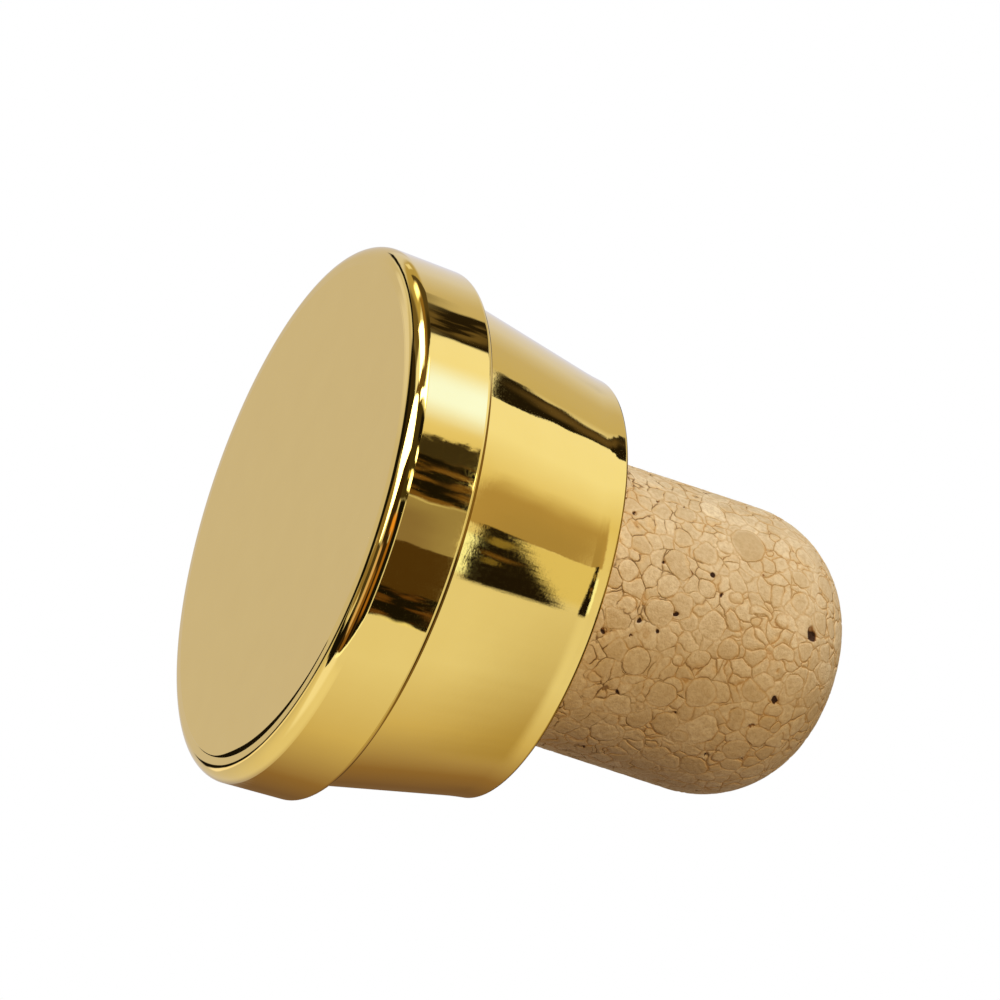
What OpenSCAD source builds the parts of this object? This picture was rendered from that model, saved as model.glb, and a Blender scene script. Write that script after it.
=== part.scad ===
// A bottle stopper: a plated head with a round crown and a tapering skirt,
// glued over the end of an agglomerated cork shank.
// It stands on the flat face of its head, at z = 0, and the shank points up +Z.

/* [Crown] */
// Widest diameter of the crown, just above the rounded rim
crown_d = 36.7; // [32:0.1:44]
// Height of the crown, from the flat face to the step
crown_h = 5.9; // [4:0.1:9]
// Lean of the crown's side toward the step, in degrees
crown_draft = 2.4; // [0:0.1:6]
// Radius of the rounded rim between the face and the crown's side
rim_r = 1.1; // [0.6:0.05:1.8]
// Radius of the rounded edge above the step
crown_edge_r = 0.3; // [0.1:0.05:0.6]

/* [Face] */
// Width of the narrow band between the flat disc and the rounded rim
band_w = 0.45; // [0.2:0.05:1.5]
// Fall of that band away from the disc, in degrees
band_fall = 5; // [1:0.5:12]
// How far the flat disc stands proud of the band
face_step = 0.08; // [0.04:0.01:0.3]

/* [Skirt] */
// Width of the step from the crown in to the skirt
step_w = 1.25; // [0.6:0.05:2.5]
// Height of the skirt, from the step to the end of the head
skirt_h = 11.6; // [9:0.1:16]
// Lean of the skirt toward the shank, in degrees
skirt_taper = 12.6; // [6:0.1:16]
// Height of the lip at the end of the skirt
lip_h = 1.2; // [0.8:0.1:2.5]
// Lean of the lip toward the shank, in degrees
lip_taper = 9; // [4:0.5:16]
// Radius of the rounded edge at the end of the lip
lip_edge_r = 0.3; // [0.1:0.05:0.6]
// Radius in the corner where the skirt leaves the step
step_fillet_r = 0.2; // [0.1:0.05:0.5]

/* [Shank] */
// Diameter of the cork shank
shank_d = 19.5; // [17:0.1:22]
// Length of the shank that stands out of the head
shank_l = 20.9; // [16:0.1:30]
// Radius of the shank's rounded end
shank_end_r = 7.65; // [2:0.05:8]

/* [Socket] */
// Depth of the blind socket that holds the shank
socket_depth = 9; // [6:0.1:12]
// How far the socket squeezes the glued end of the shank, on its radius
shank_squeeze = 0.3; // [0.2:0.05:0.6]
// Glue gap between the shank and the socket's wall
glue_gap = 0.05; // [0.03:0.01:0.15]

/* [Hidden] */
$fn = 96;

crown_r = crown_d / 2;
shank_r = shank_d / 2;
root_r = shank_r - shank_squeeze;
socket_r = root_r + glue_gap;
mouth_r = shank_r + glue_gap;

// The rim's rounding touches both the band and the crown's side
face_r = crown_r - rim_r * (1 - sin(band_fall)) - band_w;
band_end_z = face_step + band_w * tan(band_fall);
rim_c = [crown_r - rim_r, band_end_z + rim_r * cos(band_fall)];
side_start = rim_c + rim_r * [cos(crown_draft), sin(crown_draft)];
crown_end_r = side_start[0] - (crown_h - side_start[1]) * tan(crown_draft);

// The skirt and its lip
head_h = crown_h + skirt_h;
skirt_start_r = crown_end_r - step_w;
lip_z = head_h - lip_h;
lip_start_r = skirt_start_r - (skirt_h - lip_h) * tan(skirt_taper);
lip_end_r = lip_start_r - lip_h * tan(lip_taper);

// The shank stands on the socket's floor, and swells to its full width in a
// chamfer at the socket's mouth
socket_z = head_h - socket_depth;
mouth_z = head_h - shank_squeeze;
shank_top_z = head_h + shank_l;

// A rounded corner at q between the points p and s: where the rounding
// starts, where it ends, and its centre
function unit(v) = v / norm(v);
function corner(p, q, s, r) =
    let (
        a = unit(p - q),
        b = unit(s - q),
        half = acos(a * b) / 2
    )
    [q + a * r / tan(half), q + b * r / tan(half), q + unit(a + b) * r / sin(half)];

step_corner = corner(side_start, [crown_end_r, crown_h], [skirt_start_r, crown_h], crown_edge_r);
root_corner = corner([crown_end_r, crown_h], [skirt_start_r, crown_h], [lip_start_r, lip_z], step_fillet_r);
lip_corner = corner([lip_start_r, lip_z], [lip_end_r, head_h], [mouth_r, head_h], lip_edge_r);

module disc_at(c, r) {
    translate(c)
        circle(r = r);
}

module head_section() {
    difference() {
        union() {
            polygon([
                [0, 0],
                [face_r, 0],
                [face_r, face_step],
                rim_c + rim_r * [sin(band_fall), -cos(band_fall)],
                side_start,
                step_corner[0],
                step_corner[1],
                root_corner[0],
                root_corner[1],
                [lip_start_r, lip_z],
                lip_corner[0],
                lip_corner[1],
                [mouth_r, head_h],
                [socket_r, mouth_z],
                [socket_r, socket_z],
                [0, socket_z]
            ]);
            disc_at(rim_c, rim_r);
            disc_at(step_corner[2], crown_edge_r);
            disc_at(lip_corner[2], lip_edge_r);
        }
        disc_at(root_corner[2], step_fillet_r);
    }
}

module shank_section() {
    intersection() {
        union() {
            polygon([
                [0, socket_z],
                [root_r, socket_z],
                [root_r, mouth_z],
                [shank_r, head_h],
                [shank_r, shank_top_z - shank_end_r],
                [shank_r - shank_end_r, shank_top_z],
                [0, shank_top_z]
            ]);
            disc_at([shank_r - shank_end_r, shank_top_z - shank_end_r], shank_end_r);
        }
        translate([0, socket_z])
            square([shank_r, shank_top_z - socket_z]);
    }
}

module head() {
    color([0.86, 0.70, 0.28])
        rotate_extrude()
            head_section();
}

module cork_shank() {
    color([0.80, 0.67, 0.49])
        rotate_extrude()
            shank_section();
}

head();
cork_shank();
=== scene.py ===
import math

import bpy
import numpy as np
from mathutils import Matrix


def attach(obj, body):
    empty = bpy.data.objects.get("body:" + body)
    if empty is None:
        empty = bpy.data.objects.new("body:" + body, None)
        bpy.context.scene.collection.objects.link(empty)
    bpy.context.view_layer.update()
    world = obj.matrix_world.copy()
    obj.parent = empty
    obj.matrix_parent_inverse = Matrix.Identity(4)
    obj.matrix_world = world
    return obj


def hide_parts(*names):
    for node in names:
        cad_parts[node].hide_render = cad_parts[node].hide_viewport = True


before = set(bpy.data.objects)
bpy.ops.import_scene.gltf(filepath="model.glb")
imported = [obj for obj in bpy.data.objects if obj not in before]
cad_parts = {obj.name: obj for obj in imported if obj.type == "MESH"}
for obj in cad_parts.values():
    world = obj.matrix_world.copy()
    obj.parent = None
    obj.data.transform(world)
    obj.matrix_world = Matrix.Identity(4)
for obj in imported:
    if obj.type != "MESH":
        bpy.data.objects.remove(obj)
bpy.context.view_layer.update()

# The plated head
#
# The real head is one plastic moulding, turned smooth in its mould and plated
# with bright gold under a thin lacquer. Its flat disc sits in a fine seam, and
# the crown steps in to a tapering skirt that ends in a small lip.

MM = 0.001
crown_r, crown_h, crown_draft = 18.35, 5.9, 2.4
rim_r, crown_edge_r = 1.1, 0.5
band_w, band_fall, face_step = 0.45, 5.0, 0.008
step_w, skirt_h, skirt_taper = 1.25, 11.6, 12.6
lip_h, lip_taper, lip_edge_r, step_fillet_r = 1.2, 9.0, 0.3, 0.2
lip_blend_r = 16.0
socket_r, mouth_r, socket_depth, mouth_chamfer = 9.5, 9.8, 9.0, 0.3
# The disc's edge rolls over within roll_w, and the fans at the poles start at fan_r
roll_w, fan_r, turns = 0.04, 0.5, 512


def leaning(point, length, lean):
    """The point that lies a length up from a point, on a line that leans in by an angle from +Z."""
    return point + length * np.array([-math.tan(math.radians(lean)), 1.0])


def straight(start, end, rows):
    """Rows of (r, z, normal r, normal z) on a line, evenly spaced. The normal is the line
    turned clockwise by 90 degrees."""
    share = np.linspace(0, 1, rows)[:, None]
    along = (end - start) / np.linalg.norm(end - start)
    normal = np.broadcast_to([along[1], -along[0]], (rows, 2))
    return np.hstack([start + share * (end - start), normal])


def rounded(centre, radius, first, last, rows):
    """Rows on an arc: centre + radius * (cos a, sin a), with the normal (cos a, sin a), or
    its reverse in a hollow corner."""
    angle = np.radians(np.linspace(first, last, rows))[:, None]
    spoke = np.hstack([np.cos(angle), np.sin(angle)])
    return np.hstack([centre + radius * spoke, spoke if last > first else -spoke])


def all_round(rows, count):
    """The same rows at each of a number of turns."""
    return np.broadcast_to(rows[:, None, :], (len(rows), count, 4))


def lathe(name, sheet, poles=None):
    """A body of revolution. sheet holds r, z, normal r and normal z for each row and
    turn; a point is (r sin t, -r cos t, z). poles are the z of the first and last point
    on the axis, where fans of triangles close the surface. Without them it stays open."""
    rows, count = sheet.shape[:2]
    t = np.arange(count) * 2 * math.pi / count
    r, z, nr, nz = np.moveaxis(sheet, 2, 0)
    points = np.stack([r * np.sin(t), -r * np.cos(t), z], -1).reshape(-1, 3)
    normals = np.stack([nr * np.sin(t), -nr * np.cos(t), nz], -1).reshape(-1, 3)
    i, j = np.meshgrid(np.arange(rows - 1), np.arange(count), indexing="ij")
    k = (j + 1) % count
    quads = np.stack([i * count + j, i * count + k, (i + 1) * count + k, (i + 1) * count + j], -1)
    faces = quads.reshape(-1, 4).tolist()
    if poles:
        points = np.vstack([points, [[0, 0, poles[0]], [0, 0, poles[1]]]])
        normals = np.vstack([normals, [normals[0] * [0, 0, 1], normals[-1] * [0, 0, 1]]])
        first, last = rows * count, rows * count + 1
        j = np.arange(count)
        k = (j + 1) % count
        end = (rows - 1) * count
        faces += np.stack([np.full(count, first), k, j], -1).tolist()
        faces += np.stack([np.full(count, last), end + j, end + k], -1).tolist()
    mesh = bpy.data.meshes.new(name)
    mesh.from_pydata(points * MM, [], faces)
    mesh.polygons.foreach_set("use_smooth", np.ones(len(mesh.polygons), bool))
    normals /= np.linalg.norm(normals, axis=1, keepdims=True)
    mesh.normals_split_custom_set_from_vertices(normals)
    piece = bpy.data.objects.new(name, mesh)
    bpy.context.scene.collection.objects.link(piece)
    return piece


# The edge of the disc rolls down a slope of a few degrees, the seam. It is widest and steepest
# low on one side, and narrows fast past that place and slowly before it.
widest_at, seam_least_w, seam_extra_w = 64, 0.06, 0.34
t = np.degrees(np.arange(turns) * 2 * math.pi / turns)
from_widest = (t - widest_at + 180) % 360 - 180
past = from_widest > 0
seam_span, seam_power = np.where(past, 19, 27), np.where(past, 4, 2)
seam_w = seam_least_w + seam_extra_w * np.exp(-np.abs(from_widest / seam_span) ** seam_power)
seam_tilt = np.radians(5 + 7.5 * np.exp(-((from_widest / 42) ** 4)) + 2.5 * np.clip(from_widest / 26, 0, 1))
seam_d = seam_w * np.tan(seam_tilt)
face_r = crown_r - rim_r * (1 - math.sin(math.radians(band_fall))) - band_w
band_end = np.array([face_r + band_w, face_step + band_w * math.tan(math.radians(band_fall))])
rim_c = np.array([crown_r - rim_r, band_end[1] + rim_r * math.cos(math.radians(band_fall))])
draft = math.radians(crown_draft)
side_start = rim_c + rim_r * np.array([math.cos(draft), math.sin(draft)])
edge_c = leaning(side_start, crown_h - crown_edge_r - side_start[1], crown_draft)
edge_c = edge_c - np.array([crown_edge_r / math.cos(draft), 0])
crown_end_r = leaning(side_start, crown_h - side_start[1], crown_draft)[0]
root = np.array([crown_end_r - step_w, crown_h])
taper = math.radians(skirt_taper)
fillet_c = leaning(root, step_fillet_r, skirt_taper) + np.array([step_fillet_r / math.cos(taper), 0])
crease = leaning(root, skirt_h - lip_h, skirt_taper)
bend = lip_blend_r * math.tan(math.radians(skirt_taper - lip_taper) / 2)
slope = np.array([-math.sin(taper), math.cos(taper)])
skirt_end = crease - bend * slope
blend_c = skirt_end + lip_blend_r * np.array([math.cos(taper), math.sin(taper)])
lip_lean = math.radians(lip_taper)
lip_start = crease + bend * np.array([-math.sin(lip_lean), math.cos(lip_lean)])
head_h = crown_h + skirt_h
lip_c = leaning(crease, lip_h - lip_edge_r, lip_taper) - np.array([lip_edge_r / math.cos(lip_lean), 0])
socket_z = head_h - socket_depth

rows = np.vstack([
    rounded(rim_c, rim_r, band_fall - 90, crown_draft, 48),
    straight(side_start, edge_c + crown_edge_r * np.array([math.cos(draft), math.sin(draft)]), 8)[1:],
    rounded(edge_c, crown_edge_r, crown_draft, 90, 14)[1:],
    straight(np.array([edge_c[0], crown_h]), np.array([fillet_c[0], crown_h]), 3)[1:],
    rounded(fillet_c, step_fillet_r, 270, 180 + skirt_taper, 8)[1:],
    straight(fillet_c - step_fillet_r * np.array([math.cos(taper), math.sin(taper)]), skirt_end, 12)[1:],
    rounded(blend_c, lip_blend_r, 180 + skirt_taper, 180 + lip_taper, 8)[1:],
    straight(lip_start, lip_c + lip_edge_r * np.array([math.cos(lip_lean), math.sin(lip_lean)]), 3)[1:],
    rounded(lip_c, lip_edge_r, lip_taper, 90, 12)[1:],
    straight(np.array([lip_c[0], head_h]), np.array([mouth_r, head_h]), 3)[1:],
    straight(np.array([mouth_r, head_h]), np.array([socket_r, head_h - mouth_chamfer]), 2),
    straight(np.array([socket_r, head_h - mouth_chamfer]), np.array([socket_r, socket_z]), 3)[1:],
    straight(np.array([socket_r, socket_z]), np.array([fan_r, socket_z]), 3)[1:],
])
body = all_round(rows, turns)


def face_rows():
    """The disc's rows and the seam's: the disc is flat out to the seam, rolls down a slope of
    seam_w by seam_d, and a short wall brings the surface back to the band."""
    share = np.array([0.03, 0.25, 0.5, 0.75, 0.9, 0.96, 1.0])[:, None]
    roll_r = roll_w / 2
    flat_r = face_r - seam_w - roll_r
    flat = share * flat_r
    down = [flat, np.zeros_like(flat), np.zeros_like(flat), -np.ones_like(flat)]
    tilt = seam_tilt[None]
    roll = np.linspace(0.25, 1, 4)[:, None] * tilt
    rolled = [flat_r + roll_w * np.sin(roll) / np.sin(tilt), roll_r * (1 - np.cos(roll)),
              np.sin(roll), -np.cos(roll)]
    one = np.ones_like(seam_w)[None]
    foot = [face_r * one, seam_d * one, np.sin(tilt), -np.cos(tilt)]
    back = [(face_r + 0.012) * one, (seam_d + 0.003) * one, 0 * one, -one]
    lip = [(face_r + 0.03) * one, face_step * one, 0 * one, -one]
    fall = math.radians(band_fall)
    band = [(face_r + 0.07) * one, (face_step + 0.006) * one, math.sin(fall) * one, -math.cos(fall) * one]
    parts = (down, rolled, foot, back, lip, band)
    return np.concatenate([np.stack(np.broadcast_arrays(*part), -1) for part in parts])


head = lathe("gold_head", np.concatenate([face_rows(), body]), (0, socket_z))


class Wire:
    """A socket of a node tree that takes part in arithmetic, so that a pattern reads as a formula."""

    def __init__(self, net, socket):
        self.net, self.socket = net, socket

    def maths(self, operation, *others):
        inputs = {n: value for n, value in enumerate((self,) + others)}
        return self.net.add("ShaderNodeMath", {"operation": operation}, inputs)

    def __add__(self, other):
        return self.maths("ADD", other)

    def __radd__(self, other):
        return self.maths("ADD", other)

    def __sub__(self, other):
        return self.maths("SUBTRACT", other)

    def __rsub__(self, other):
        return (self * -1) + other

    def __mul__(self, other):
        return self.maths("MULTIPLY", other)

    def __rmul__(self, other):
        return self.maths("MULTIPLY", other)

    def __truediv__(self, other):
        return self.maths("DIVIDE", other)

    def also(self, out):
        """Another output of the same node."""
        return Wire(self.net, self.socket.node.outputs[out])

    def rise(self, low, high, start=0.0, end=1.0):
        """Eases from start to end as this value goes from low to high."""
        return self.net.add("ShaderNodeMapRange", {"interpolation_type": "SMOOTHSTEP"},
                            {0: self, 1: low, 2: high, 3: start, 4: end})


class Net:
    """A node tree and the one method that adds a node to it."""

    def __init__(self, tree):
        self.tree = tree

    def add(self, kind, settings, inputs, out=0):
        """Adds a node of a kind, sets its settings and its ramp's stops, then its sockets, and
        gives one output, by its number or name, as a Wire."""
        node = self.tree.nodes.new(kind)
        for name, value in settings.items():
            if name == "stops":
                while len(node.color_ramp.elements) < len(value):
                    node.color_ramp.elements.new(0.5)
                for element, (place, tone) in zip(node.color_ramp.elements, value):
                    element.position = place
                for element, (place, tone) in zip(node.color_ramp.elements, value):
                    element.color = (*tone, 1)
            else:
                setattr(node, name, value)
        for key, value in inputs.items():
            if isinstance(value, Wire):
                self.tree.links.new(value.socket, node.inputs[key])
            else:
                node.inputs[key].default_value = value
        return Wire(self, node.outputs[out]) if node.outputs else node

    def mix(self, share, first, second):
        """Blends two colours, from the first at 0 to the second at 1."""
        first, second = [c if isinstance(c, Wire) else (*c, 1) for c in (first, second)]
        return self.add("ShaderNodeMix", {"data_type": "RGBA"}, {0: share, 6: first, 7: second}, 2)

    def along(self, vector, scale):
        """Stretches a position by a number for each axis."""
        return self.add("ShaderNodeVectorMath", {"operation": "MULTIPLY"}, {0: vector, 1: scale})

    def noise(self, vector, scale, detail=2.0, roughness=0.5, out=0):
        """Soft noise, about 0.5 on average, with about scale features to a unit of the position."""
        inputs = {"Vector": vector, "Scale": scale, "Detail": detail, "Roughness": roughness}
        return self.add("ShaderNodeTexNoise", {}, inputs, out)


def finish_of(name):
    """A new material with an empty net, and its position in millimetres."""
    material = bpy.data.materials.new(name)
    material.use_nodes = True
    material.node_tree.nodes.clear()
    net = Net(material.node_tree)
    place = net.add("ShaderNodeTexCoord", {}, {}, "Object")
    return material, net, net.along(place, (1 / MM,) * 3)


def principled(net, **inputs):
    """Ends a net in the Principled shader, with the inputs given by name."""
    inputs = {name.replace("_", " "): value for name, value in inputs.items()}
    shader = net.add("ShaderNodeBsdfPrincipled", {}, inputs)
    net.add("ShaderNodeOutputMaterial", {}, {"Surface": shader})


material, net, place = finish_of("gold plating")
orange_peel = net.noise(place, 1.6, 1.0)
speckle = net.noise(place, 6.0, 2.0, 0.6)
waviness = net.noise(place, 0.25, 1.0)
up = net.add("ShaderNodeSeparateXYZ", {}, {0: place}, "Z")
# Heights in thousandths of a millimetre; the speckle is stronger on the skirt
relief = orange_peel * 0.35 + speckle * up.rise(5.5, 6.5, 0.06, 0.40) + waviness * 4.0
bump = net.add("ShaderNodeBump", {}, {"Strength": 1.0, "Distance": 0.000001, "Height": relief})
tone = net.mix(net.noise(place, 0.3, 3.0), (0.90, 0.655, 0.165), (0.86, 0.615, 0.145))
principled(net, Base_Color=tone, Metallic=1.0, Roughness=speckle.rise(0.2, 0.9, 0.015, 0.05),
           Coat_Weight=0.12, Coat_Roughness=0.02, Normal=bump)
head.data.materials.append(material)
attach(head, "root")
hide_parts("head")

# The cork shank
#
# The real shank is turned from a block of cork granules, pressed and glued
# together. Round granules lie among smaller flat ones, with thin brown seams
# and small open pits between them.

shank_r, shank_end_r, shank_top, tip_r, glue_gap = 9.75, 7.65, 38.4, 0.1, 0.05
end_c = np.array([shank_r - shank_end_r, shank_top - shank_end_r])
root_r, swell_z = socket_r - glue_gap, head_h - mouth_chamfer
rows = np.vstack([
    straight(np.array([fan_r, socket_z]), np.array([root_r, socket_z]), 3),
    straight(np.array([root_r, socket_z]), np.array([root_r, swell_z]), 3)[1:],
    straight(np.array([root_r, swell_z]), np.array([shank_r, head_h]), 2)[1:],
    straight(np.array([shank_r, head_h]), np.array([shank_r, end_c[1]]), 100)[1:],
    rounded(end_c, shank_end_r, 0, 90, 80)[1:],
    straight(np.array([end_c[0], shank_top]), np.array([tip_r, shank_top]), 12)[1:],
])
shank = lathe("cork", all_round(rows, 480), (socket_z, shank_top))


def granules(net, place):
    """The pattern of the granules: how far in millimetres a point is from a seam, a tone for its
    granule, and how deep it lies in a pit. Balls of two sizes, cut flat where they touch, lie
    among smaller chips, and a few granules and pits are set one by one, by centre and radius."""
    def shoved(place, size, reach):
        """The place, moved by a noise, so that the granules aren't true balls."""
        shove = net.noise(place, 1 / size, 1.0, 0.5, "Color")
        shove = net.along(shove, (reach,) * 3)
        return net.add("ShaderNodeVectorMath", {"operation": "ADD"}, {0: place, 1: shove})

    def distance(middle):
        """How far a point is from a place on the shank, both moved by the shoves."""
        middle = [c + mean_shove for c in middle]
        return net.add("ShaderNodeVectorMath", {"operation": "DISTANCE"}, {0: place, 1: middle}, "Value")

    place, mean_shove = shoved(shoved(place, 1.4, 0.8), 0.35, 0.14), 0.47
    seam, tone = None, None
    for size, reach in ((1.15, None), (2.0, 0.60)):
        cells = {"Vector": place, "Scale": 1 / size, "Randomness": 0.9}
        centre = net.add("ShaderNodeTexVoronoi", {}, cells)
        own = net.add("ShaderNodeSeparateXYZ", {}, {0: centre.also("Color")})
        edge = net.add("ShaderNodeTexVoronoi", {"feature": "DISTANCE_TO_EDGE"}, cells) * size
        if reach is None:
            seam, tone = edge, own
        else:
            out = centre - (own.also("Y") * -0.32 + reach)
            inside = out.maths("LESS_THAN", 0.0)
            seam = (seam + (edge - seam) * inside).maths("MINIMUM", out.maths("ABSOLUTE") * size)
            tone = tone + (own - tone) * inside
    for middle, radius, own in (((-6.95, -6.3, 28.5), 1.35, -0.7), ((-8.5, -4.5, 26.2), 0.95, 1.9),
                                ((2.25, -9.3, 22.6), 0.95, 0.6), ((-1.2, -9.5, 23.1), 1.0, 0.4),
                                ((3.0, -9.15, 27.6), 1.1, 0.3), ((3.95, -8.8, 25.2), 1.0, 0.3)):
        out = distance(middle) - radius
        inside = out.maths("LESS_THAN", 0.0)
        seam = (seam + (out * -1 - seam) * inside).maths("MINIMUM", out.maths("ABSOLUTE"))
        tone = tone + (own - tone) * inside
    # The grey of a spot's own random colour says how big its pit is
    spot = net.add("ShaderNodeTexVoronoi", {}, {"Vector": place, "Scale": 0.6, "Randomness": 1.0})
    big = spot.also("Color") * 0.07
    pit = (spot - big).rise(0.02, 0.10, 1.0, 0.0) * seam.rise(0.05, 0.20, 1.0, 0.0)
    for middle, radius in (((-2.96, -8.5, 34.0), 0.42), ((2.0, -9.25, 32.7), 0.26),
                           ((-4.64, -8.58, 26.0), 0.19), ((-1.5, -9.63, 24.2), 0.21),
                           ((-0.36, -9.74, 22.0), 0.19), ((1.0, -9.7, 19.7), 0.22),
                           ((6.7, -7.06, 30.1), 0.17)):
        pit = pit.maths("MAXIMUM", distance(middle).rise(radius * 0.7, radius * 1.2, 1.0, 0.0))
    return seam, tone, pit


# The seams and pits are sunk into the surface, by depths in millimetres, and the granules
# between them swell a little
relief = Net(bpy.data.node_groups.new("cork relief", "GeometryNodeTree"))
for way in ("INPUT", "OUTPUT"):
    relief.tree.interface.new_socket("Geometry", in_out=way, socket_type="NodeSocketGeometry")
surface = relief.add("NodeGroupInput", {}, {})
place = relief.along(relief.add("GeometryNodeInputPosition", {}, {}), (1 / MM,) * 3)
seam, tone, pit = granules(relief, place)
worn = relief.noise(place, 0.55, 3.0)
swell = relief.noise(place, 1.8, 2.0)
depth = seam.rise(0.0, 0.16, 0.045, 0.0) * worn.rise(0.40, 0.60, 0.25, 1.0) + pit * 0.16 + swell * 0.03
normal = relief.add("GeometryNodeInputNormal", {}, {})
sink = relief.add("ShaderNodeVectorMath", {"operation": "SCALE"}, {0: normal, "Scale": depth * -MM})
surface = relief.add("GeometryNodeSetPosition", {}, {"Geometry": surface, "Offset": sink})
relief.add("NodeGroupOutput", {}, {0: surface})
shank.modifiers.new("relief", "NODES").node_group = relief.tree

material, net, place = finish_of("agglomerated cork")
seam, tone, pit = granules(net, place)
worn = net.noise(place, 0.55, 3.0)
line = seam.rise(0.0, 0.05, 1.0, 0.0) * worn.rise(0.38, 0.60, 0.25, 0.95)
stain = seam.rise(0.0, 0.20, 1.0, 0.0) * worn.rise(0.38, 0.60, 0.1, 0.5)
up = net.add("ShaderNodeSeparateXYZ", {}, {0: place}, "Z")
cracked = net.noise(place, 1.1, 2.0).rise(0.48, 0.60) * up.rise(20, 34, 1.0, 0.25)
grain = net.noise(place, 3.6, 3.0, 0.7)
cells = net.noise(place, 1.5, 3.0, 0.6)
colour = net.mix(tone.rise(-0.8, 1.8), (0.62, 0.465, 0.26), (0.91, 0.765, 0.52))
colour = net.mix(cells.rise(0.4, 0.65) * 0.4, colour, (0.62, 0.455, 0.25))
colour = net.mix(grain.rise(0.35, 0.7) * 0.5, colour, (0.53, 0.36, 0.18))
# Painted highlight: a pale line along the granules' edges, beside the seams, stands in for light catching
# their raised edges
painted_highlight = seam.rise(0.05, 0.11) * seam.rise(0.13, 0.28, 1.0, 0.0) * worn.rise(0.4, 0.6, 0.2, 0.0)
colour = net.mix(painted_highlight, colour, (0.98, 0.85, 0.62))
colour = net.mix(stain, colour, (0.80, 0.54, 0.24))
# The seam lines are the glue's own brown. Where the cork is cracked, mostly near the head, they turn near
# black, and that part is painted shade in the open gaps
colour = net.mix(line * 0.9, colour, net.mix(cracked, (0.50, 0.26, 0.08), (0.10, 0.045, 0.015)))
# Painted shade: the open seams near the head are darkened further, for the shade down in the gaps
open_seam_shade = seam.rise(0.01, 0.06, 1.0, 0.0) * cracked * up.rise(20, 26, 1.0, 0.0)
colour = net.mix(open_seam_shade * 0.6, colour, (0.16, 0.075, 0.025))
# The pits' reddish-brown edges are the cork's own colour. Their near-black cores are painted shade down in
# the holes
colour = net.mix(pit.rise(0.05, 0.3) * 0.8, colour, (0.30, 0.12, 0.03))
colour = net.mix(pit.rise(0.3, 0.7), colour, (0.050, 0.026, 0.016))
height = seam.rise(0.0, 0.10, -0.05, 0.0) * worn.rise(0.40, 0.60, 0.25, 1.0)
height = height + grain * 0.06 + cells * 0.07 - pit * 0.1
bump = net.add("ShaderNodeBump", {}, {"Strength": 1.0, "Distance": 0.001, "Height": height})
principled(net, Base_Color=colour, Roughness=grain.rise(0.2, 0.8, 0.75, 0.9), Specular_IOR_Level=0.25,
           Normal=bump)
shank.data.materials.append(material)
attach(shank, "root")
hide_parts("cork_shank")

# The studio's reflections
#
# The plating is a mirror, so most of what it shows is the studio. A dome stands
# for the soft boxes, pale cards and dark flags round the stopper; only
# reflections see it, and the lamps further down light the rest.

# The dome has a material for each of three zones of elevation: one material with all the
# cards is more than the renderer can take, and it would turn black
dome_r, dome_z, dome_turns = 120.0, 10.0, 96
crown_low, crown_high, dome_top = 14.0, 24.5, 88
lat = np.concatenate([np.linspace(-dome_top, crown_low, 36), np.linspace(crown_low, crown_high, 5)[1:],
                      np.linspace(crown_high, dome_top, 23)[1:]])
middle = np.concatenate([(lat[1:] + lat[:-1]) / 2, [-90, 90]])
lat = np.radians(lat)
rows = np.stack([dome_r * np.cos(lat), dome_z + dome_r * np.sin(lat), np.cos(lat), np.sin(lat)], -1)
dome = lathe("studio_dome", all_round(rows, dome_turns), (dome_z - dome_r, dome_z + dome_r))
zone = (middle > crown_low).astype(int) + (middle > crown_high)
dome.data.polygons.foreach_set("material_index", np.repeat(zone, dome_turns).astype(np.int32))
for ray in ("camera", "diffuse", "transmission", "volume_scatter", "shadow"):
    setattr(dome, "visible_" + ray, False)


def studio(name, detail, reach):
    """A net for one zone of the dome, with its azimuth, its azimuth counted from behind and its
    elevation, and the first and last of them as a chart. They are in degrees and a little wavy:
    detail says how fine the waves are, and reach how far they go."""
    material, net, place = finish_of(name)
    material.cycles.emission_sampling = "NONE"
    from_middle = net.add("ShaderNodeVectorMath", {"operation": "SUBTRACT"}, {0: place, 1: (0, 0, dome_z)})
    x, y, z = [net.add("ShaderNodeSeparateXYZ", {}, {0: from_middle}, axis) for axis in "XYZ"]
    wobble = (net.noise(place, 0.15, detail) - 0.5) * reach
    azimuth = x.maths("ARCTAN2", y * -1) * math.degrees(1) + wobble
    behind = x.maths("ARCTAN2", y) * math.degrees(1) + wobble
    elevation = (z / dome_r).maths("ARCSINE") * math.degrees(1) + wobble * 0.6
    chart = net.add("ShaderNodeCombineXYZ", {}, {0: azimuth, 1: elevation})
    return material, net, azimuth, behind, elevation, chart


def hang(light):
    """Ends a zone's net in the light of its cards, and gives its material to the dome."""
    glow = net.add("ShaderNodeEmission", {}, {"Color": light, "Strength": 1.0})
    net.add("ShaderNodeOutputMaterial", {}, {"Surface": glow})
    dome.data.materials.append(material)


def ring(tones):
    """A wall of light all round, with a tone at each azimuth."""
    stops = [((a + 180) / 360, tone) for a, tone in tones]
    return net.add("ShaderNodeValToRGB", {"stops": stops}, {0: (azimuth + 180) / 360})


def rippled():
    """The azimuth with slow waves in it, for the wavy sides of a card."""
    return azimuth + (net.noise(net.along(chart, (0.13, 0.75, 1)), 1.0, 2.0) - 0.5) * 5.0


def streaked(scale, detail, low, high, first, second):
    """A tone with streaks, which goes from the first to the second as a noise goes from low to high."""
    return net.mix(net.noise(net.along(chart, (*scale, 1)), 1.0, detail).rise(low, high), first, second)


def lean(first, second):
    """A leaning edge through two points, each an elevation and an azimuth: the edge's azimuth
    at any elevation."""
    slope = (second[1] - first[1]) / (second[0] - first[0])
    return elevation * slope + (first[1] - slope * first[0])


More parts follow.
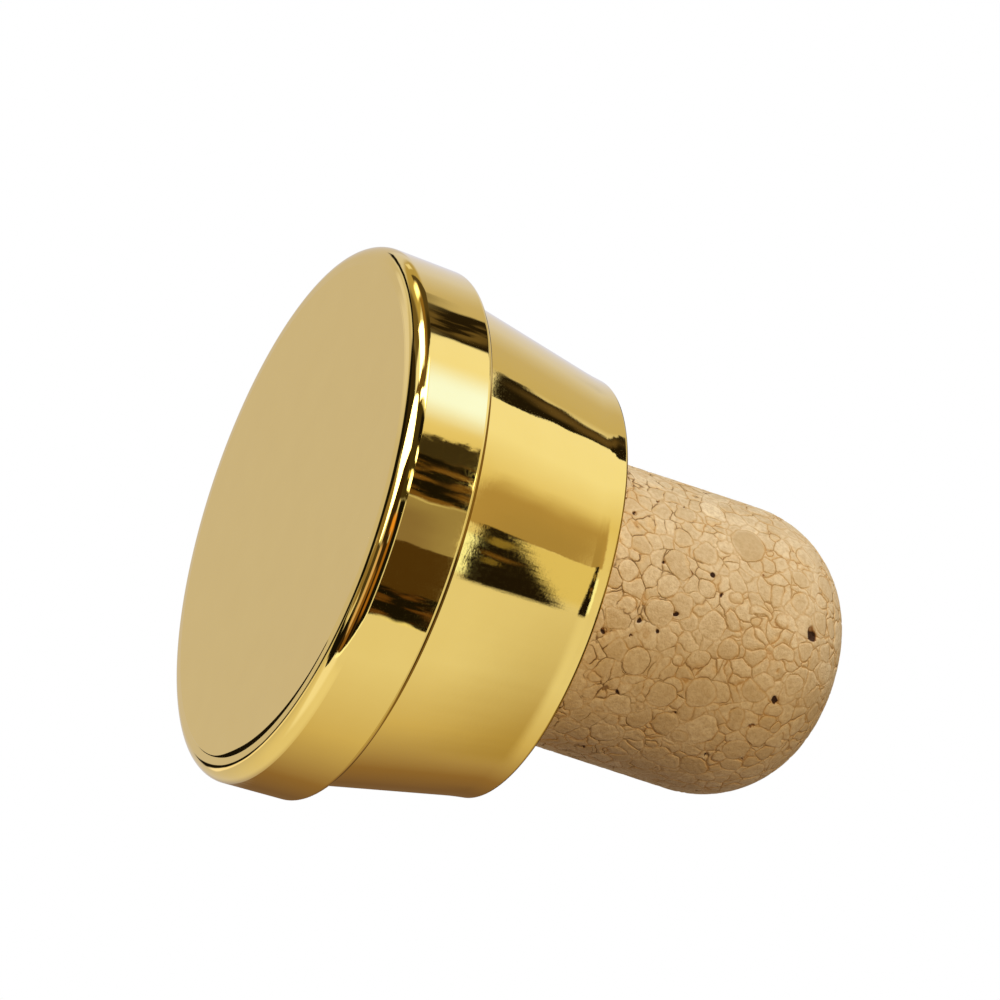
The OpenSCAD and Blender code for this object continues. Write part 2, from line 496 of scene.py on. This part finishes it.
def card(below, tone, left, right, low, high, soft=1.5, soft_z=1.5, turn=None, corner=0.0, grain=0.0):
    """Lays a card of a tone over the light below it. left and right are azimuths, low and high
    elevations, and each may be a number or a formula. soft and soft_z say how soft the edges
    are, and may be pairs. A corner above 0 rounds the corners, and grain breaks the soft edges
    into specks, all but the low one."""
    turn = turn or azimuth
    soft, soft_z = [width if isinstance(width, tuple) else (width, width) for width in (soft, soft_z)]
    sides = []
    for value, edge, width, ends in (
            (turn, left, soft[0], (0.0, 1.0)), (turn, right, soft[1], (1.0, 0.0)),
            (elevation, high, soft_z[1], (1.0, 0.0)), (elevation, low, soft_z[0], (0.0, 1.0))):
        if isinstance(edge, Wire):
            value, edge = value - edge, 0.0
        sides.append(value.rise(edge - width / 2, edge + width / 2, *ends))
    mask = sides[0] * sides[1] * sides[2]
    if grain:
        specks = net.noise(net.along(chart, (0.9, 13, 1)), 1.0, 2.0, 0.7)
        mask = mask + (specks - 0.5) * grain * mask * (1 - mask) * 4
    mask = mask * sides[3]
    if corner:
        mask = mask.rise(0.5 - corner, 0.5 + corner)
    return net.mix(mask, below, tone)


def low_right(light):
    """The large gold-lit card low on the right."""
    tone = net.mix(elevation.rise(-4, 16) * 0.5, ring(low_wall), light)
    return card(light, tone, 52, 172, -90, 14.6, 6, 1.4)


def brown_walls(light):
    """The brown walls low on the left, whose tops reach the crown's height."""
    light = card(light, (0.10, 0.075, 0.038), lean((-12, -125), (16, -118)), lean((-12, -58), (16, -92)),
                 -13, 15.5, 2, 3)
    light = card(light, (0.30, 0.18, 0.055), -112, -70, -13, -3, 12, 5)
    light = card(light, (0.045, 0.032, 0.016), -100, lean((-12, -60), (16, -93)), 2, 15.5, 8, 4)
    light = card(light, (0.16, 0.10, 0.04), -72, -34, -45, -12, 3, 4)
    return card(light, (0.062, 0.048, 0.022), lean((-28, -58), (14, -51)), -17, -34, 14.5, 2, 3)


def tall_lamps(light):
    """A thin bright edge on the right and two lamps in front, which reach the crown's height too."""
    light = card(light, (1.25, 1.38, 1.7), lean((-45, 55), (12, 26.5)), lean((-45, 58), (12, 29)),
                 -46, 14, 1, 3)
    light = card(light, (5.0, 5.0, 4.4), -37.5, -32.5, 4, 15, 2, 4)
    return card(light, (5.0, 5.0, 4.6), -28, -21, -3, 13, 2.5, 5)


def slow_fall(light):
    """On the right the light falls slowly towards the lip, and on the lip itself. above is how
    far a point lies above a curve that sinks to both sides."""
    above = elevation + azimuth * azimuth * 0.00074 - 37.5
    fall = above.rise(0.3, 5.0) + above.rise(-11, -9) * above.rise(-3, -1, 1.0, 0.0)
    fall = fall * azimuth.rise(-5, 95, 0.15, 0.75) * azimuth.rise(98, 112, 1.0, 0.0) * azimuth.rise(-2, 8)
    return net.mix(fall, light, (0.42, 0.32, 0.14))


# The studio's own tones, and the wall's at each azimuth: pale behind, a cool key light on the
# left past a gap, a pale front, and a fall through amber to brown on the right
dim_back, pale_back, gap = (0.54, 0.48, 0.45), (0.76, 0.77, 0.90), (0.65, 0.60, 0.53)
key_light, corner, front = (1.04, 1.10, 1.35), (0.86, 0.80, 0.66), (0.88, 0.89, 1.00)
warm, amber, brown = (0.70, 0.62, 0.48), (0.30, 0.19, 0.09), (0.19, 0.11, 0.05)
wall = [
    (-180, dim_back), (-165, pale_back), (-138, pale_back), (-120, gap), (-104, gap),
    (-96, key_light), (-68, key_light), (-44, corner), (8, front), (46, front),
    (86, warm), (124, amber), (148, brown), (165, brown), (180, dim_back),
]
low_front, low_side = (0.92, 0.92, 1.00), (0.84, 0.81, 0.81)
low_back, low_end = (0.66, 0.63, 0.60), (0.57, 0.52, 0.46)
low_wall = [(60, low_front), (110, low_side), (156, low_back), (168, low_end)]
black, white = (0.010, 0.008, 0.005), (6.0, 6.0, 6.4)

# Low on the right: the gold-lit card, and the pale card under the disc's own reflection
material, net, azimuth, behind, elevation, chart = studio("low cards", 3.0, 2.5)
light = low_right(ring(wall))
light = card(light, (1.03, 1.07, 1.38), 46, 96, -62, -30, 16, 16)
light = card(light, (0.30, 0.22, 0.11), -180, 160, -95, -75, 30, 5)
light = card(light, (0.666, 0.64, 0.665), -33, 22, -60, 12, 4, 4, behind)
light = card(light, (0.84, 0.84, 0.98), -30, -8, -38, -28.5, 6, 3, behind)
light = card(light, black, lean((-50, 40), (-20, 42)), lean((-66, 106), (-50, 60)), -70, -50, 1.5, 1.5)
light = card(light, black, 90, 152, -73, -65, 12, 2)
light = card(light, (1.08, 1.02, 0.98), lean((-54, 147), (-18, 151.5)), lean((-54, 155), (-18, 157)),
             -56, -16, 3, 4)
light = card(light, black, -54, 24, -77, -48, 6, 4, behind)
# Low on the left: the dark line round the disc, brown walls and white lamps
light = card(light, (0.52, 0.43, 0.21), lean((-30, -131), (8, -138)), lean((-30, -96), (8, -116)),
             -31, 9, 6, 8)
light = card(light, (0.17, 0.13, 0.065), -131, -92, -50, -30, 6, 8)
light = card(light, (0.04, 0.028, 0.014), -130, -70, -74, -49, 8, 5)
light = card(light, black, lean((-46, -135), (-8, -149.5)), lean((-46, -124), (-8, -145.5)), -50, -9, 2, 3)
light = card(light, (0.95, 0.92, 0.75), -133.5, -129, -9, 0, 2, 4)
light = brown_walls(light)
light = card(light, black, -51, -40, -4, 12, 3, 4)
light = card(light, (0.045, 0.026, 0.012), -36, 4, -56, -27, 3, 4)
light = card(light, (3.2, 3.1, 2.6), -118, -110, -20, -8, 6, 8)
light = card(light, white, lean((-34, -100), (-14, -94)), lean((-34, -70), (-14, -77)), -34, -14, 3, 4)
light = card(light, white, lean((-50, -73), (-31, -62)), lean((-50, -34), (-31, -39)), -50, -31, 2, 3)
light = card(light, white, lean((-72, -77), (-49, -73)), lean((-72, 4), (-49, -33)), -72, -48.5, 3, 3)
light = card(light, white, lean((-1, -64), (9, -77)), lean((-1, -57), (9, -54.5)), -2, 9.5, 2, 3)
light = card(light, white, -62, -57.5, -22, 0, 1.5, 3)
# Low in front: the black gap between the walls, with lit orange edges
light = card(light, black, -17, lean((-20, 42), (16, 25)), -20, 8, 2, 3)
light = card(light, (0.045, 0.026, 0.012), 0, lean((-50, 60), (-20, 42)), -56, -19, 1.5, 2)
light = card(light, (0.42, 0.19, 0.035), -6, 30, -23, -12, 7, 5)
light = card(light, (0.95, 0.42, 0.07), -11, -4, -34, -17, 4, 8)
light = card(light, (0.022, 0.009, 0.005), 20, lean((-34, 48), (-22, 43)), -34, -23, 5, 2)
light = card(light, (0.26, 0.13, 0.035), 12, lean((-44, 55), (-31, 46)), -44, -32, 6, 3)
light = card(light, (0.78, 0.56, 0.45), 2, 46, -56, -44, 5, 4)
light = card(light, (0.08, 0.06, 0.028), 2, 50, -76, -57, 5, 3)
light = tall_lamps(light)
light = card(light, (0.85, 0.70, 0.30), -28, -25, -14, -2, 1.5, 4)
# The dark gap that draws the line round the lower side of the disc
light = card(light, black, lean((-33, 155.5), (-18, 158)), lean((-31, 164), (-18, 164)), -34, -15, 1.5, 3)
light = card(light, black, lean((-48, 162), (-33, 156)), lean((-46, 172), (-31, 165)), -49, -32, 1.5, 2)
hang(light)

# At the crown's height: the tops of the low cards, the bright window, the dark flag, and three
# blocks with wavy sides
material, net, azimuth, behind, elevation, chart = studio("crown cards", 1.0, 1.0)
wavy = rippled()
furry = wavy + (net.noise(net.along(chart, (0.25, 9.0, 1)), 1.0, 1.0) - 0.5) * 7.0
light = tall_lamps(brown_walls(slow_fall(low_right(ring(wall)))))
light = card(light, (1.10, 1.50, 3.6), -74, -56, 14.5, 24, 14, 4)
light = card(light, (0.022, 0.016, 0.010), -111.5, -92.5, 15, 24, 2, 3, wavy)
tone = streaked((0.22, 0.5), 2.0, 0.44, 0.56, (0.020, 0.014, 0.009), (0.15, 0.11, 0.06))
light = card(light, tone, -107, lean((16, -95), (19, -98)), 15, 18.2, 4, 2, wavy)
light = card(light, (0.98, 0.98, 0.90), -43, 28.6, 16.8, 22, 1.5, 1)
light = card(light, (0.050, 0.040, 0.026), lean((16, -44), (18.5, -46.5)), -34, 14, 18.45, 1.5, 0.25, furry)
tone = streaked((0.30, 0.55), 3.0, 0.44, 0.60, black, (0.19, 0.105, 0.035))
light = card(light, tone, -37, lean((16, -20.5), (18.5, -20.5)), 14, 18.45, 1.2, 0.25, wavy)
light = card(light, (5.0, 5.0, 4.6), -36.5, -30, 18.5, 24, 2, 0.4)
light = card(light, (0.37, 0.32, 0.25), lean((16, -20.0), (18.5, -20.5)), 2, 14, 18.45, 0.8, 0.2, wavy)
light = card(light, (0.28, 0.22, 0.17), -16, 2, 14, 17.4, 8, 1.5, wavy)
light = card(light, (0.082, 0.046, 0.014), -2.2, 22, 14, 18.6, 0.8, 0.2, wavy)
tone = streaked((0.30, 0.5), 3.0, 0.48, 0.60, black, (0.13, 0.06, 0.018))
light = card(light, tone, 16, 28.3, 14, 18.7, 1.0, 0.5, wavy)
hang(light)

# At the skirt's height: a slow fall towards the lip, the flag, the middle band and the black block
material, net, azimuth, behind, elevation, chart = studio("high cards", 1.0, 0.6)
wavy = rippled()
light = slow_fall(ring(wall))
light = card(light, (0.016, 0.012, 0.008), lean((30.5, -102.5), (34.2, -99.5)),
             lean((32, -85.5), (35, -91.5)), (azimuth + 101) * 0.12 + 30.1, 46, (4, 1.5), 0.8, wavy, 0.3)
light = card(light, (0.12, 0.085, 0.05), lean((30.5, -100.5), (34.2, -98.5)), lean((30.5, -96), (34.2, -94)),
             31.5, 46, 4, 3, wavy)
light = card(light, (0.50, 0.385, 0.235), -45, -21.3, 36.2, 41.6, (14, 1.0), (1.0, 2.5), wavy)
light = card(light, (0.45, 0.35, 0.215), -34, -21.3, 37.8, 41.2, (16, 1.0), (2.0, 1.5), wavy)
light = card(light, (0.82, 0.77, 0.60), -21.3, 1, 38, 46, (1, 6), 2.5)
light = card(light, (1.15, 1.35, 1.6), -16, 3, 36.5, 37.6, 3, 0.4)
light = card(light, (0.014, 0.010, 0.007), -22.4, 5.4, 37.6, azimuth * 0.09 + 40.8,
             (0.9, 4.0), (0.12, 1.6), azimuth, 0.25, 3.2)
light = card(light, (0.16, 0.09, 0.03), -11, -9, 38.0, 39.2, 2, 0.8, wavy)
light = card(light, (0.26, 0.205, 0.08), -18.5, -14.5, 38.0, 38.9, 3, 0.6, azimuth, 0.2, 2.5)
light = card(light, (0.18, 0.14, 0.055), -8, -5, 38.1, 38.7, 2.5, 0.5, azimuth, 0.2, 2.5)
# Overhead: a dark cap, which draws the lines along the crown's edge and the lip
light = card(light, (0.22, 0.14, 0.05), -181, 181, 50, 96, 1, 6)
light = card(light, (0.05, 0.03, 0.012), -10, 75, 46, 96, 14, 4)
light = card(light, (0.05, 0.03, 0.012), -40, 40, 30, 60, 10, 8, behind)
hang(light)

# The floor, the lamps and the camera
#
# A pale floor lies under the stopper's face. The photograph looks up from
# below it, so the floor is seen from above only, and is open under the face.

floor_r = np.array([17.0, 20, 24, 30, 45, 80, 160, 400])[::-1]
rows = np.stack([floor_r, floor_r * 0, floor_r * 0, floor_r * 0 + 1], -1)
floor = lathe("floor", all_round(rows, 96))
material, net, place = finish_of("pale floor")
x, y = [net.add("ShaderNodeSeparateXYZ", {}, {0: place}, axis) for axis in "XY"]
away = (x * x + y * y).maths("SQRT")
from_below = net.add("ShaderNodeNewGeometry", {}, {}, "Backfacing")
camera_ray = net.add("ShaderNodeLightPath", {}, {}, "Is Camera Ray")
# It fades out with distance, and neither lights the part nor shows in its reflections
open_share = from_below.maths("MAXIMUM", away.rise(120, 380) * camera_ray)
for ray in ("Is Diffuse Ray", "Is Glossy Ray"):
    open_share = open_share.maths("MAXIMUM", net.add("ShaderNodeLightPath", {}, {}, ray))
matt = net.add("ShaderNodeBsdfDiffuse", {}, {"Color": (0.92, 0.92, 0.92, 1)})
lit = net.add("ShaderNodeEmission", {}, {"Color": (1, 1, 1, 1), "Strength": 0.46})
surface = net.add("ShaderNodeAddShader", {}, {0: matt, 1: lit})
clear = net.add("ShaderNodeBsdfTransparent", {}, {})
surface = net.add("ShaderNodeMixShader", {}, {0: open_share, 1: surface, 2: clear})
net.add("ShaderNodeOutputMaterial", {}, {"Surface": surface})
floor.data.materials.append(material)


def lamp(name, place, aim, size, power, tint):
    """A soft square lamp at a place, in millimetres, turned to face another place."""
    data = bpy.data.lights.new(name, "AREA")
    data.size, data.energy, data.color = size * MM, power, tint
    light = bpy.data.objects.new(name, data)
    bpy.context.scene.collection.objects.link(light)
    back = np.subtract(place, aim)
    back = back / np.linalg.norm(back)
    side = np.cross([0, 0, 1], back)
    side /= np.linalg.norm(side)
    turn = np.eye(4)
    turn[:3, :3] = np.stack([side, np.cross(back, side), back], 1)
    turn[:3, 3] = np.array(place) * MM
    light.matrix_world = Matrix(turn.tolist())
    light.visible_glossy = False
    light.visible_camera = False


lamp("key_lamp", (-590, -80, 50), (0, 0, 22), 200, 2.65, (0.94, 1.0, 1.10))
lamp("fill_lamp", (-200, -560, 40), (0, 0, 22), 220, 2.6, (1.0, 0.78, 0.47))
lamp("bounce_lamp", (560, -260, 30), (0, 0, 22), 300, 0.5, (1.0, 0.45, 0.13))
lamp("back_lamp", (260, 480, 260), (0, 0, 22), 400, 1.3, (1.0, 0.96, 0.90))
lamp("top_lamp", (0, 60, 620), (0, 0, 10), 500, 0.12, (1.0, 1.0, 1.0))

world = bpy.data.worlds.new("white room")
bpy.context.scene.world = world
world.use_nodes = True
world.node_tree.nodes.clear()
net = Net(world.node_tree)
# The room is white where it is seen, and lights the part with a dim warm tone
seen = net.add("ShaderNodeLightPath", {}, {}, "Is Camera Ray")
for ray in ("Is Glossy Ray", "Is Transmission Ray"):
    seen = seen.maths("MAXIMUM", net.add("ShaderNodeLightPath", {}, {}, ray))
room = net.mix(seen, (0.07, 0.062, 0.052), (1, 1, 1))
sky = net.add("ShaderNodeBackground", {}, {"Color": room, "Strength": 1.0})
net.add("ShaderNodeOutputWorld", {}, {"Surface": sky})

# The camera is far off, looks up from below the face, and is rolled and shifted as in the photograph
distance, lens, shift_right, shift_up = 1250.0, 688.5, 13.637, 0.663
below, roll = math.radians(19.2), math.radians(18.24)
back = np.array([0, -math.cos(below), -math.sin(below)])
along_axis = np.array([0, -math.sin(below), math.cos(below)])
right = math.cos(roll) * along_axis - math.sin(roll) * np.array([1, 0, 0])
up = -(math.sin(roll) * along_axis + math.cos(roll) * np.array([1, 0, 0]))
camera_data = bpy.data.cameras.new("camera")
camera_data.lens, camera_data.sensor_width = lens, 36
camera_data.clip_start, camera_data.clip_end = 0.01, 10
camera = bpy.data.objects.new("camera", camera_data)
bpy.context.scene.collection.objects.link(camera)
turn = np.eye(4)
turn[:3, :3] = np.stack([right, up, back], 1)
turn[:3, 3] = (distance * back + shift_right * right + shift_up * up) * MM
camera.matrix_world = Matrix(turn.tolist())
bpy.context.scene.camera = camera
bpy.context.scene.view_settings.view_transform = "Standard"
